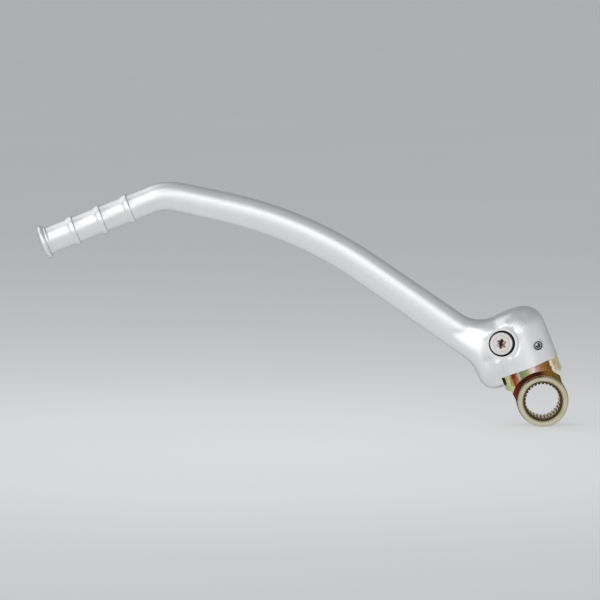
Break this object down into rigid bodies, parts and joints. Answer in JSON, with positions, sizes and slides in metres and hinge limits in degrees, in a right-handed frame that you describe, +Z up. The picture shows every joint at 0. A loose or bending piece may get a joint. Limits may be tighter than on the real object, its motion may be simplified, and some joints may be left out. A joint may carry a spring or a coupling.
{
  "type": "kick start lever",
  "caption": "Folding kick start lever: forged arm with ribbed foot peg, hinged on the leaning spigot of a splined steel joint piece that slides on the kick shaft.",
  "frame": {"origin": "where the lever's fold axis crosses the kick shaft axis, inside the splined eye", "axes": "Y along the kick shaft with -Y towards the rider, the folded lever towards -X, +Z up as in the picture"},
  "size_m": [0.3011, 0.035, 0.1384],
  "materials": {
    "lever_aluminium": "satin, bead-blasted",
    "plated_steel": "yellow-passivated zinc plate",
    "bright_steel": "satin",
    "washer_steel": "fine turned",
    "dark_steel": "satin",
    "ball_steel": "polished",
    "spring_steel": "drawn wire",
    "seal_rubber": "matt"
  },
  "bodies": {
    "joint_body": {"joint_piece": "plated_steel", "detent_ball": "ball_steel", "detent_spring": "spring_steel", "spigot_seal": "seal_rubber"},
    "lever_body": {"lever_arm": "lever_aluminium", "retaining_screw": "bright_steel", "retaining_washer": "washer_steel", "stop_screw": "dark_steel"}
  },
  "joints": [
    {"name": "lever_fold", "type": "hinge", "parent": "joint_body", "child": "lever_body", "pos_m": [0, 0, 0], "axis": [-0.3697, 0, 0.9291], "range_deg": [0, 90]}
  ]
}
